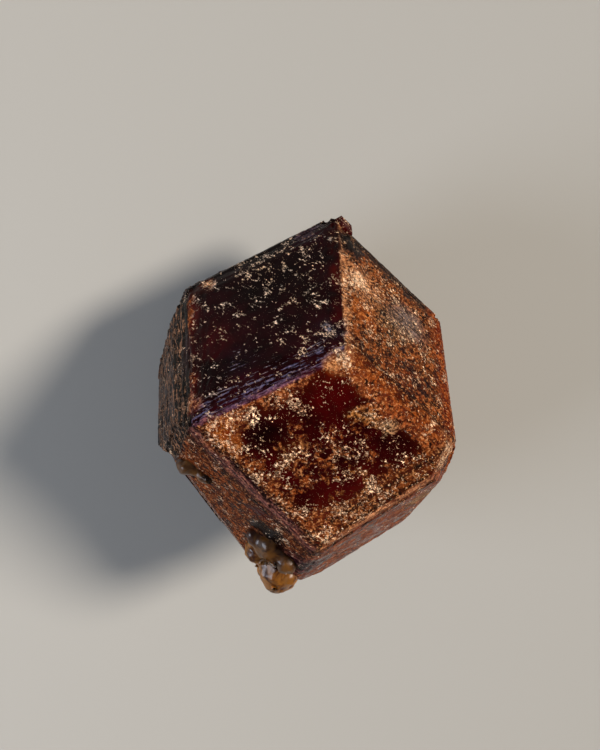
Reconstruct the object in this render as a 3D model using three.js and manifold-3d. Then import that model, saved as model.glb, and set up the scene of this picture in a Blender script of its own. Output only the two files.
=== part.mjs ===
// A garnet crystal picked from its rock: a rhombic dodecahedron as big as a plum, with growth steps on its
// faces, a small crystal grown in line with it at the back tip, and lumps of amber-brown quartz on the front.
// Millimetres, +Z up, +Y to the back. It lies on one of its own faces at z = 0, centred on the origin.

import * as THREE from "three";
import { ConvexGeometry } from "three/addons/geometries/ConvexGeometry.js";
import { mergeVertices } from "three/addons/utils/BufferGeometryUtils.js";
import Module from "manifold-3d";

const wasm = await Module();
wasm.setup();

// ---- driving dimensions ----

const EDGE = 29; // edge of the ideal dodecahedron
const IDEAL_DISTANCE = EDGE * Math.sqrt(2 / 3); // from its centre to each of its twelve faces
const BEVEL_HALF_WIDTH_PER_DEPTH = Math.tan(Math.PI / 3); // faces meet at 120 degrees
const HALF = 0.5;
const ROOT_HALF = Math.SQRT1_2;

// The twelve faces. direction is the ideal one, lean is how far slightly uneven growth turns it, and grown
// is how many millimetres the face lies outside its ideal place, or inside it where grown is negative.
const FACES = {
  top: { direction: [0, 0, 1], lean: [-0.01, -0.02, 0], grown: 0.05 },
  base: { direction: [0, 0, -1], lean: [0, 0, 0], grown: 0.7 },
  left: { direction: [-1, 0, 0], lean: [0, -0.02, 0.05], grown: -0.7 },
  right: { direction: [1, 0, 0], lean: [0, -0.02, 0.03], grown: -2.2 },
  backLeftUpper: { direction: [-HALF, ROOT_HALF, HALF], lean: [0.03, 0.02, 0], grown: -0.1 },
  backRightUpper: { direction: [HALF, ROOT_HALF, HALF], lean: [-0.01, 0, 0.01], grown: 0 },
  frontLeftUpper: { direction: [-HALF, -ROOT_HALF, HALF], lean: [-0.04, 0.03, 0], grown: -2.2 },
  frontRightUpper: { direction: [HALF, -ROOT_HALF, HALF], lean: [0.05, 0.04, -0.01], grown: -2 },
  backLeftLower: { direction: [-HALF, ROOT_HALF, -HALF], lean: [0.01, 0, 0], grown: 4.8 },
  backRightLower: { direction: [HALF, ROOT_HALF, -HALF], lean: [-0.01, 0.01, 0], grown: 3.7 },
  frontLeftLower: { direction: [-HALF, -ROOT_HALF, -HALF], lean: [0, 0, 0], grown: 3.3 },
  frontRightLower: { direction: [HALF, -ROOT_HALF, -HALF], lean: [0, 0, 0], grown: -2.4 },
};

// Narrow bevels, faces of the {211} form: the two faces that each one lies between, and its width.
const BEVELS = [
  ["backLeftUpper", "left", 1.6],
  ["backLeftUpper", "top", 1.5],
  ["backRightUpper", "top", 1.0],
  ["backRightUpper", "right", 2.2],
  ["top", "frontLeftUpper", 2.0],
  ["top", "frontRightUpper", 1.2],
  ["frontLeftUpper", "frontRightUpper", 0.9],
  ["frontRightUpper", "right", 1.4],
  ["backLeftUpper", "backLeftLower", 1.6],
  ["backRightUpper", "backRightLower", 1.2],
  ["backLeftLower", "left", 1.4],
];

// Corners broken off flat: the direction that each break faces and its distance from the crystal's centre.
const BREAKS = [
  { direction: [-0.72, -0.67, 0.15], distance: 21.6 },
  { direction: [0.1, -0.99, 0.1], distance: 26.2 },
  { direction: [0.81, -0.21, 0.54], distance: 26.4 },
];

// Growth steps: plates on a face, each standing up by rise and stopping short of each edge by its inset.
const GROWTH_STEPS = {
  top: [
    { rise: 0.25, inset: { backLeftUpper: 1.3, backRightUpper: 0.9, frontLeftUpper: 2, frontRightUpper: 3 } },
    { rise: 0.45, inset: { backLeftUpper: 2, backRightUpper: 1.6, frontLeftUpper: 3.6, frontRightUpper: 5.2 } },
  ],
  backLeftUpper: [
    { rise: 0.2, inset: { top: 1.5, left: 1.3, backRightUpper: 0.8, backLeftLower: 1.6 } },
    { rise: 0.4, inset: { top: 2.7, left: 1.9, backRightUpper: 1.4, backLeftLower: 2.4 } },
    { rise: 0.6, inset: { top: 4, left: 3, backRightUpper: 2.2, backLeftLower: 3.4 } },
  ],
  backRightUpper: [
    { rise: 0.25, inset: { top: 1.2, right: 2.4, backLeftUpper: 0.7, backRightLower: 2.4 } },
    { rise: 0.45, inset: { top: 2.2, right: 5.5, backLeftUpper: 1.6, backRightLower: 3.6 } },
  ],
  left: [
    { rise: 0.4, inset: { backLeftUpper: 2.2, frontLeftUpper: 1, backLeftLower: 0.2, frontLeftLower: 0.8 } },
    { rise: 0.8, inset: { backLeftUpper: 4.2, frontLeftUpper: 1.8, backLeftLower: 0.4, frontLeftLower: 1.6 } },
    { rise: 1.2, inset: { backLeftUpper: 6, frontLeftUpper: 3, backLeftLower: 0.9, frontLeftLower: 2.4 } },
  ],
  right: [
    { rise: 0.2, inset: { backRightUpper: 1.6, frontRightUpper: 1.2, backRightLower: 1.4, frontRightLower: 1 } },
    { rise: 0.4, inset: { backRightUpper: 2.6, frontRightUpper: 2, backRightLower: 3.6, frontRightLower: 4 } },
  ],
  frontRightUpper: [{ rise: 0.25, inset: { top: 1.6, right: 1.2, frontLeftUpper: 1, frontRightLower: 1 } }],
  backLeftLower: [
    { rise: 0.6, inset: { backLeftUpper: 1.8, left: 0.3, backRightLower: 2.4, base: 3 } },
    { rise: 1.3, inset: { backLeftUpper: 2.8, left: 0.3, backRightLower: 14, base: 5 } },
  ],
  backRightLower: [{ rise: 0.5, inset: { backRightUpper: 1.8, right: 4, backLeftLower: 2.6, base: 2.2 } }],
  frontLeftLower: [{ rise: 0.3, inset: { left: 2.2, base: 1.4, frontRightLower: 5, frontLeftUpper: 1.5 } }],
  frontRightLower: [
    { rise: 0.35, inset: { right: 1.6, base: 2.8, frontLeftLower: 1.4, frontRightUpper: 1.2 } },
  ],
};

const HIDDEN_INSET = 0.5; // of the faces that a plate doesn't reach, to keep it inside the crystal

// The small crystal at the back tip, in line with the large one.
const TIP_CRYSTAL = { centre: [1.5, 33.2, -4.6], distance: 2 };

// Lumps of quartz, each an egg-shaped body sunk into the garnet: centre and half sizes.
const QUARTZ_LUMPS = [
  { centre: [-2.6, -23.4, 7], half: [3.3, 5.4, 4] },
  { centre: [-4.9, -18.6, 11.5], half: [2.8, 3.6, 3] },
  { centre: [-0.6, -26.6, 3.2], half: [2.4, 3, 3.2] },
  { centre: [-20, -6.3, 12], half: [2.6, 1.8, 2.4] },
  { centre: [-17.4, -7.6, 13.6], half: [1.7, 1.3, 1.7] },
];
const LUMP_DETAIL = 4;

const COLOUR = { garnet: 0x4a1a10 };

// ---- faces and solids ----

const vector = (xyz) => new THREE.Vector3(...xyz);

/** The plane of a named face, moved outwards by shift. */
function facePlane(name, shift = 0) {
  const { direction, lean, grown } = FACES[name];
  const normal = vector(direction).add(vector(lean)).normalize();
  return new THREE.Plane(normal, -(IDEAL_DISTANCE + grown + shift));
}

/** The plane that bevels the edge between two named faces. */
function bevelPlane([first, second, width]) {
  const a = facePlane(first);
  const b = facePlane(second);
  const sum = a.normal.clone().add(b.normal);
  const edgeDistance = -(a.constant + b.constant) / sum.length();
  const depth = width / 2 / BEVEL_HALF_WIDTH_PER_DEPTH;
  return new THREE.Plane(sum.normalize(), -(edgeDistance - depth));
}

/** The plane that faces a direction, at a distance from the crystal's centre. */
const planeFacing = ({ direction, distance }) => new THREE.Plane(vector(direction).normalize(), -distance);

/** The point where three planes meet, or null where two of them are parallel. */
function meetingPoint(a, b, c) {
  const bc = b.normal.clone().cross(c.normal);
  const ca = c.normal.clone().cross(a.normal);
  const ab = a.normal.clone().cross(b.normal);
  const spread = a.normal.dot(bc);
  if (Math.abs(spread) < 1e-6) return null;
  const sum = bc.multiplyScalar(a.constant);
  sum.addScaledVector(ca, b.constant);
  sum.addScaledVector(ab, c.constant);
  return sum.divideScalar(-spread);
}

/** The corners of the convex body that a set of planes encloses. */
function cornersInside(planes) {
  const corners = [];
  planes.forEach((a, i) =>
    planes.slice(i + 1).forEach((b, j) =>
      planes.slice(i + j + 2).forEach((c) => {
        const point = meetingPoint(a, b, c);
        if (!point || planes.some((plane) => plane.distanceToPoint(point) > 1e-5)) return;
        if (corners.every((known) => known.distanceTo(point) > 1e-3)) corners.push(point);
      }),
    ),
  );
  return corners;
}

/** A three.js geometry as a manifold-3d solid. */
function solidFrom(geometry) {
  geometry.deleteAttribute("normal");
  geometry.deleteAttribute("uv");
  const merged = mergeVertices(geometry, 1e-4);
  const vertProperties = merged.attributes.position.array;
  const triVerts = new Uint32Array(merged.index.array);
  return new wasm.Manifold(new wasm.Mesh({ numProp: 3, vertProperties, triVerts }));
}

/** A manifold-3d solid as a three.js geometry with one normal for each facet. */
function geometryFrom(solid) {
  const mesh = solid.getMesh();
  const geometry = new THREE.BufferGeometry();
  geometry.setAttribute("position", new THREE.BufferAttribute(mesh.vertProperties, 3));
  geometry.setIndex(new THREE.BufferAttribute(mesh.triVerts, 1));
  const facets = geometry.toNonIndexed();
  facets.computeVertexNormals();
  return facets;
}

const convexSolid = (planes) => solidFrom(new ConvexGeometry(cornersInside(planes)));

// ---- the crystal's own bodies ----

/** The dodecahedron with its bevels. */
function mainCrystal() {
  const faces = Object.keys(FACES).map((name) => facePlane(name));
  return convexSolid([...faces, ...BEVELS.map(bevelPlane), ...BREAKS.map(planeFacing)]);
}

/** One growth step: the dodecahedron with one face moved out and that face's neighbours moved in. */
function growthStep(face, { rise, inset }) {
  const shiftOf = (name) => (name === face ? rise : -(inset[name] ?? HIDDEN_INSET));
  const faces = Object.keys(FACES).map((name) => facePlane(name, shiftOf(name)));
  return convexSolid([...faces, ...BREAKS.map(planeFacing)]);
}

const growthStepsOf = ([face, steps]) => steps.map((step) => growthStep(face, step));

/** A small dodecahedron with its faces parallel to the ideal ones. */
function parallelCrystal({ centre, distance }) {
  const planes = Object.values(FACES).map(({ direction }) => planeFacing({ direction, distance }));
  return solidFrom(new ConvexGeometry(cornersInside(planes)).translate(...centre));
}

/** An egg-shaped lump. */
function lump({ centre, half }) {
  return solidFrom(new THREE.IcosahedronGeometry(1, LUMP_DETAIL).scale(...half).translate(...centre));
}

/** The whole specimen as one geometry, lying on z = 0 with the middle of its bounding box over the origin. */
function specimenGeometry() {
  const additions = [
    ...Object.entries(GROWTH_STEPS).flatMap(growthStepsOf),
    parallelCrystal(TIP_CRYSTAL),
    ...QUARTZ_LUMPS.map(lump),
  ];
  const joined = additions.reduce((whole, addition) => whole.add(addition), mainCrystal());
  const geometry = geometryFrom(joined);
  geometry.computeBoundingBox();
  const middle = geometry.boundingBox.getCenter(new THREE.Vector3());
  return geometry.translate(-middle.x, -middle.y, -geometry.boundingBox.min.z);
}

/** A named, flat-shaded mesh. */
function stone(name, geometry, colour) {
  const material = new THREE.MeshStandardMaterial({ color: colour, roughness: 0.3, metalness: 0 });
  const mesh = new THREE.Mesh(geometry, material);
  mesh.name = name;
  return mesh;
}

const group = new THREE.Group();
group.add(stone("garnet_crystal", specimenGeometry(), COLOUR.garnet));

export default group;
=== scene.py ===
"""A garnet crystal lying on one face: a stepped, frosted dodecahedron with quartz grown onto it."""

from functools import partial
from itertools import combinations
from math import sqrt, tan, radians

import bmesh
import bpy
import numpy as np
from mathutils import Matrix, Vector, noise


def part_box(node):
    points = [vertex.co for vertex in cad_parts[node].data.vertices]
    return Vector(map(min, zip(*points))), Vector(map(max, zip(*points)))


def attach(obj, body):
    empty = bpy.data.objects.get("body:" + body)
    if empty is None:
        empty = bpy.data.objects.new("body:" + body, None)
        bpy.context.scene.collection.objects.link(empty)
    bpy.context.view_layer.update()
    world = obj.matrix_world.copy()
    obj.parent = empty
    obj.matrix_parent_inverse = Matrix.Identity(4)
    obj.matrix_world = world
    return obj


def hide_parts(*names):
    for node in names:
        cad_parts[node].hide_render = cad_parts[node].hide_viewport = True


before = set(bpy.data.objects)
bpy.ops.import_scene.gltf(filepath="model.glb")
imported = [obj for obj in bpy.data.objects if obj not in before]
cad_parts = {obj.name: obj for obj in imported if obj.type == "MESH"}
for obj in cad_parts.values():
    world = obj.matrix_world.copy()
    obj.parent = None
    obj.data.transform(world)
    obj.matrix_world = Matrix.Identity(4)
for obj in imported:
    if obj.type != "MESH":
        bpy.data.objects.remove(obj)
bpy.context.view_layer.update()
CAD_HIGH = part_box("garnet_crystal")[1]
MM = 0.001

# ---- the crystal's sizes, in millimetres, measured from its own centre ----

EDGE = 29.0
IDEAL_DISTANCE = EDGE * sqrt(2 / 3)
HALF = 0.5
ROOT_HALF = sqrt(0.5)

# Each face: its ideal direction, how uneven growth leans it, and how far it has grown past its ideal place.
FACES = {
    "top": ((0, 0, 1), (-0.01, -0.02, 0), 0.05),
    "base": ((0, 0, -1), (0, 0, 0), 0.7),
    "left": ((-1, 0, 0), (0, -0.02, 0.05), -0.7),
    "right": ((1, 0, 0), (0, -0.02, 0.03), -2.2),
    "back_left_upper": ((-HALF, ROOT_HALF, HALF), (0.03, 0.02, 0), -0.1),
    "back_right_upper": ((HALF, ROOT_HALF, HALF), (-0.01, 0, 0.01), 0),
    "front_left_upper": ((-HALF, -ROOT_HALF, HALF), (-0.04, 0.03, 0), -2.2),
    "front_right_upper": ((HALF, -ROOT_HALF, HALF), (0.05, 0.04, -0.01), -2),
    "back_left_lower": ((-HALF, ROOT_HALF, -HALF), (0.01, 0, 0), 4.8),
    "back_right_lower": ((HALF, ROOT_HALF, -HALF), (-0.01, 0.01, 0), 3.7),
    "front_left_lower": ((-HALF, -ROOT_HALF, -HALF), (0, 0, 0), 3.3),
    "front_right_lower": ((HALF, -ROOT_HALF, -HALF), (0, 0, 0), -2.4),
}

# Narrow bevels: the two faces that each one lies between, and its width.
BEVELS = (
    ("back_left_upper", "left", 1.6),
    ("back_left_upper", "top", 1.5),
    ("back_right_upper", "top", 1.0),
    ("back_right_upper", "right", 2.2),
    ("top", "front_left_upper", 2.0),
    ("top", "front_right_upper", 1.2),
    ("front_left_upper", "front_right_upper", 0.9),
    ("front_right_upper", "right", 1.4),
    ("back_left_upper", "back_left_lower", 1.6),
    ("back_right_upper", "back_right_lower", 1.2),
    ("back_left_lower", "left", 1.4),
)

# Corners broken off flat: the direction of each break and its distance from the centre.
BREAKS = (
    ((-0.72, -0.67, 0.15), 21.6),
    ((0.1, -0.99, 0.1), 26.2),
    ((0.81, -0.21, 0.54), 26.4),
)

# Growth plates on each face: the face's neighbours, then each plate's rise above the face and how far it
# stops short of the edge with each neighbour.
GROWTH_STEPS = {
    "top": (
        ("back_left_upper", "back_right_upper", "front_left_upper", "front_right_upper"),
        (0.25, 1.3, 0.9, 2, 3),
        (0.45, 2, 1.6, 3.6, 5.2),
    ),
    "back_left_upper": (
        ("top", "left", "back_right_upper", "back_left_lower"),
        (0.2, 1.5, 1.3, 0.8, 1.6),
        (0.4, 2.7, 1.9, 1.4, 2.4),
        (0.6, 4, 3, 2.2, 3.4),
    ),
    "back_right_upper": (
        ("top", "right", "back_left_upper", "back_right_lower"),
        (0.25, 1.2, 2.4, 0.7, 2.4),
        (0.45, 2.2, 5.5, 1.6, 3.6),
    ),
    "left": (
        ("back_left_upper", "front_left_upper", "back_left_lower", "front_left_lower"),
        (0.4, 2.2, 1, 0.2, 0.8),
        (0.8, 4.2, 1.8, 0.4, 1.6),
        (1.2, 6, 3, 0.9, 2.4),
    ),
    "right": (
        ("back_right_upper", "front_right_upper", "back_right_lower", "front_right_lower"),
        (0.2, 1.6, 1.2, 1.4, 1),
        (0.4, 2.6, 2, 3.6, 4),
    ),
    "front_right_upper": (
        ("top", "right", "front_left_upper", "front_right_lower"),
        (0.25, 1.6, 1.2, 1, 1),
    ),
    "back_left_lower": (
        ("back_left_upper", "left", "back_right_lower", "base"),
        (0.6, 1.8, 0.3, 2.4, 3),
        (1.3, 2.8, 0.3, 14, 5),
    ),
    "back_right_lower": (
        ("back_right_upper", "right", "back_left_lower", "base"),
        (0.5, 1.8, 4, 2.6, 2.2),
    ),
    "front_left_lower": (
        ("left", "base", "front_right_lower", "front_left_upper"),
        (0.3, 2.2, 1.4, 5, 1.5),
    ),
    "front_right_lower": (
        ("right", "base", "front_left_lower", "front_right_upper"),
        (0.35, 1.6, 2.8, 1.4, 1.2),
    ),
}

# Striations: the neighbour whose edge they run along, their depth, and how far from that edge they reach.
STRIATIONS = {
    "top": ("front_right_upper", 0.05, 5.0),
    "left": ("back_left_upper", 0.5, 60.0),
    "right": ("back_right_upper", 0.12, 8.0),
    "back_left_upper": ("top", 0.12, 4.0),
    "back_right_upper": ("back_right_lower", 0.16, 14.0),
    "front_left_upper": ("top", 0.4, 4.0),
    "front_right_upper": ("top", 0.1, 6.0),
    "back_left_lower": ("back_left_upper", 0.2, 12.0),
    "back_right_lower": ("back_right_upper", 0.2, 12.0),
    "front_left_lower": ("left", 0.15, 8.0),
    "front_right_lower": ("right", 0.15, 8.0),
}

TIP_CENTRE = Vector((1.5, 33.2, -4.6))
TIP_DISTANCE = 2.0
TIP_FINISH = ("#320606", "#a87060", 0.30, 0.45, 0.0)

# Quartz lumps: centre and half sizes.
QUARTZ_LUMPS = (
    ((-2.6, -23.4, 7), (3.3, 5.4, 4)),
    ((-4.9, -18.6, 11.5), (2.8, 3.6, 3)),
    ((-0.6, -26.6, 3.2), (2.4, 3, 3.2)),
    ((-20, -6.3, 12), (2.6, 1.8, 2.4)),
    ((-17.4, -7.6, 13.6), (1.7, 1.3, 1.7)),
)
# Small quartz knobs between and on the lumps.
QUARTZ_KNOBS = (
    ((-2.4, -20.6, 13.4), (1.9, 2.2, 1.6)),
    ((-6.6, -21.2, 7.2), (2.2, 2.4, 2.3)),
    ((-1.0, -24.6, 9.6), (1.5, 1.7, 1.6)),
    ((-4.4, -25.2, 4.6), (1.6, 2.0, 1.8)),
    ((-7.8, -17.4, 11.2), (1.6, 1.8, 1.5)),
    ((-18.9, -7.4, 10.6), (1.2, 1.1, 1.3)),
)

HALF_EDGE_ANGLE = radians(60)  # half the angle between two faces that meet in an edge
HIDDEN_INSET = 0.5  # of the faces that a growth plate does not reach
PARALLEL = 1e-6  # three planes with a smaller determinant share no single point
OUTSIDE = 1e-5  # a point further than this past a plane is outside it
ON_PLANE = 1e-4  # a corner nearer than this to a plane lies on it
SAME_CORNER = 1e-3  # corners nearer than this are one
MERGE_DISTANCE = 0.01 * MM  # for the seams between grids

GRID_STEPS = 35  # grid cells from a face's corner to the middle of its edge
TIP_GRID_STEPS = 6
EDGE_CROWDING = 0.65  # grid spacing next to an edge, as a share of the mean spacing


# ---- planes and corners ----


def face_plane(name, shift=0.0):
    """The outward unit normal of a face and its distance from the centre, moved out by shift."""
    direction, lean, grown = FACES[name]
    return (Vector(direction) + Vector(lean)).normalized(), IDEAL_DISTANCE + grown + shift


def bevel_plane(first, second, width):
    """The plane that bevels the edge between two faces."""
    normal_a, distance_a = face_plane(first)
    normal_b, distance_b = face_plane(second)
    total = normal_a + normal_b
    depth = width / 2 / tan(HALF_EDGE_ANGLE)
    return total.normalized(), (distance_a + distance_b) / total.length - depth


def break_planes():
    """The planes of the broken corners."""
    return [(Vector(direction).normalized(), distance) for direction, distance in BREAKS]


def corners_inside(planes):
    """The corners of the body that the planes enclose."""
    corners = []
    for trio in combinations(range(len(planes)), 3):
        normals = Matrix([planes[i][0] for i in trio])
        if abs(normals.determinant()) < PARALLEL:
            continue
        point = normals.inverted() @ Vector([planes[i][1] for i in trio])
        if any(normal.dot(point) > distance + OUTSIDE for normal, distance in planes):
            continue
        if all((known - point).length > SAME_CORNER for known in corners):
            corners.append(point)
    return corners


def growth_plates(face):
    """The rise of each of a face's growth plates, and its inset from each neighbour."""
    neighbours, *plates = GROWTH_STEPS[face]
    return [(rise, dict(zip(neighbours, insets))) for rise, *insets in plates]


def plate_corners(face, rise, insets):
    """The corners of the body that a growth plate is the face of."""
    shifts = {name: -insets.get(name, HIDDEN_INSET) for name in FACES}
    shifts[face] = rise
    return corners_inside([face_plane(name, shifts[name]) for name in FACES] + break_planes())


def crystal_centre():
    """The crystal's centre in metres, worked out from where the CAD body's right and back ends lie."""
    right_end = max(p.x for plate in growth_plates("right") for p in plate_corners("right", *plate))
    back_end = TIP_CENTRE.y + TIP_DISTANCE * sqrt(2)
    base_distance = face_plane("base")[1]
    return Vector((CAD_HIGH.x - right_end * MM, CAD_HIGH.y - back_end * MM, base_distance * MM))


FACE_NAMES = list(FACES)
FACE_PLANES = [face_plane(name) for name in FACES]
FACE_NORMALS = np.array([normal for normal, _ in FACE_PLANES])
HULL_PLANES = FACE_PLANES + break_planes()
CENTRE = crystal_centre()


# ---- nodes and colours ----

# Kinds of node and socket that are used often.
MATH = "ShaderNodeMath"
VECTOR = "ShaderNodeVectorMath"
RANGE = "ShaderNodeMapRange"
NOISE = "ShaderNodeTexNoise"
MIX = "ShaderNodeMix"
ATTRIBUTE = "ShaderNodeAttribute"
NAMED_ATTRIBUTE = "GeometryNodeInputNamedAttribute"
RANDOM = "FunctionNodeRandomValue"
PRINCIPLED = "ShaderNodeBsdfPrincipled"
MATERIAL_OUTPUT = "ShaderNodeOutputMaterial"
FLOAT_SOCKET = "NodeSocketFloat"
VECTOR_SOCKET = "NodeSocketVector"
GEOMETRY_SOCKET = "NodeSocketGeometry"
MATERIAL_SOCKET = "NodeSocketMaterial"
# Settings that they share.
PLUS = {"operation": "ADD"}
MINUS = {"operation": "SUBTRACT"}
TIMES = {"operation": "MULTIPLY"}
TIMES_PLUS = {"operation": "MULTIPLY_ADD"}
SMALLEST = {"operation": "MINIMUM"}
LARGEST = {"operation": "MAXIMUM"}
DOT = {"operation": "DOT_PRODUCT"}
SCALED = {"operation": "SCALE"}
EASED = {"interpolation_type": "SMOOTHSTEP"}
NUMBERS = {"data_type": "FLOAT"}
VECTORS = {"data_type": "FLOAT_VECTOR"}
COLOURS = {"data_type": "RGBA"}


def add_node(tree, kind, settings=None, inputs=None, output=0):
    """Adds a node with its settings, a value or a link for each input, and returns one of its outputs."""
    made = tree.nodes.new(kind)
    for name, value in (settings or {}).items():
        setattr(made, name, value)
    for key, value in (inputs or {}).items():
        if isinstance(value, bpy.types.NodeSocket):
            tree.links.new(value, made.inputs[key])
        else:
            made.inputs[key].default_value = value
    return made.outputs[output] if made.outputs else None


def linear(hex_colour):
    """An sRGB hex colour as linear red, green, blue and an alpha of one."""
    channels = [int(hex_colour[i : i + 2], 16) / 255 for i in (1, 3, 5)]
    return tuple(c / 12.92 if c <= 0.04045 else ((c + 0.055) / 1.055) ** 2.4 for c in channels) + (1.0,)


def new_object(name, data):
    """A mesh, light or camera as an object in the scene."""
    made = bpy.data.objects.new(name, data)
    bpy.context.scene.collection.objects.link(made)
    return made


def applied(obj):
    """Turns an object's modifiers into a plain mesh and takes them off."""
    depsgraph = bpy.context.evaluated_depsgraph_get()
    mesh = bpy.data.meshes.new_from_object(obj.evaluated_get(depsgraph))
    obj.modifiers.clear()
    obj.data = mesh
    return obj


# ---- what covers each face ----

# A finish is: the colour of the garnet where no crust lies (in some bands a painted edge glow), the colour
# of its crust (in some bands and patches a painted sheen), and from 0 to 1 how much crust covers it, how
# many bright flecks it has, and how far its crust runs in streaks along its striations.
FINISHES = {
    "top": ("#2a0202", "#883f17", 0.44, 0.42, 0.0),
    "base": ("#2a0805", "#703f2a", 0.60, 0.0, 0.2),
    "left": ("#080201", "#a27457", 0.42, 0.15, 1.0),
    "right": ("#440e03", "#8c3f13", 0.62, 0.30, 0.4),
    "back_left_upper": ("#1a0205", "#f6e6dc", 0.08, 0.10, 0.1),
    "back_right_upper": ("#240803", "#8c471e", 0.64, 0.40, 0.1),
    "front_left_upper": ("#2c0a06", "#90451f", 0.58, 0.35, 0.4),
    "front_right_upper": ("#642c1c", "#aa5f3f", 0.50, 0.10, 0.3),
    "back_left_lower": ("#200504", "#7c523b", 0.35, 0.45, 0.3),
    "back_right_lower": ("#2c0c06", "#7e4728", 0.60, 0.45, 0.3),
    "front_left_lower": ("#240806", "#724126", 0.50, 0.40, 0.3),
    "front_right_lower": ("#2c0c06", "#7c4125", 0.55, 0.35, 0.3),
}

# Bands along an edge: the face that holds the band, the neighbour across the edge, its width and finish.
BANDS = (
    # painted shade: this darker strip on the left face along its bevel with back_left_upper stands in for
    # the bevel's shadow
    ("left", "back_left_upper", 1.8, ("#080302", "#4d372c", 0.34, 0.10, 1.0)),
    # painted edge glow: the orange-red garnet colour of this strip stands in for light shining through the
    # thin edge; its crust is the real golden crust
    ("back_left_upper", "left", 1.9, ("#480a03", "#aa5421", 0.50, 0.45, 0.1)),
    # painted edge glow: this redder strip along the edge with back_right_upper stands in for light shining
    # through the thin edge
    ("back_left_upper", "back_right_upper", 1.3, ("#300203", "#8c3628", 0.04, 0.10, 0.0)),
    # painted sheen: these two bands' violet and mauve streaks stand in for reflections along the edge with
    # the top
    ("back_left_upper", "top", 6.0, ("#220408", "#646082", 0.36, 0.34, 1.0)),
    ("back_left_upper", "top", 1.4, ("#360e18", "#704a60", 0.62, 0.10, 1.0)),
    # painted sheen: the bluish-grey streaks of this dark bevel band stand in for a reflection
    ("back_left_upper", "back_left_lower", 2.4, ("#070203", "#56545e", 0.20, 0.30, 0.8)),
    ("back_right_upper", "back_right_lower", 2.8, ("#1a0e0a", "#4f372c", 0.46, 0.10, 0.8)),
    ("back_right_upper", "right", 3.2, ("#501203", "#924115", 0.62, 0.25, 0.3)),
    ("back_right_upper", "top", 2.6, ("#4a1806", "#984a19", 0.74, 0.30, 0.2)),
    ("back_right_upper", "back_left_upper", 1.0, ("#5a2c1c", "#c38357", 0.74, 0.55, 0.0)),
    ("top", "back_right_upper", 2.6, ("#4c1806", "#9e4e21", 0.82, 0.42, 0.2)),
    ("top", "back_left_upper", 2.0, ("#481404", "#984c23", 0.64, 0.50, 0.1)),
    ("top", "front_left_upper", 2.4, ("#3c1004", "#8e471f", 0.64, 0.50, 0.2)),
    ("top", "front_right_upper", 4.6, ("#3c1004", "#7e3f1a", 0.70, 0.40, 0.2)),
    ("front_left_upper", "top", 2.8, ("#38181a", "#965d52", 0.60, 0.15, 0.9)),
    # painted highlight: this pale ridge along the edge with the top stands in for the bevel's highlight
    ("front_right_upper", "top", 1.6, ("#6a3422", "#c3835c", 0.66, 0.25, 0.8)),
)

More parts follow.
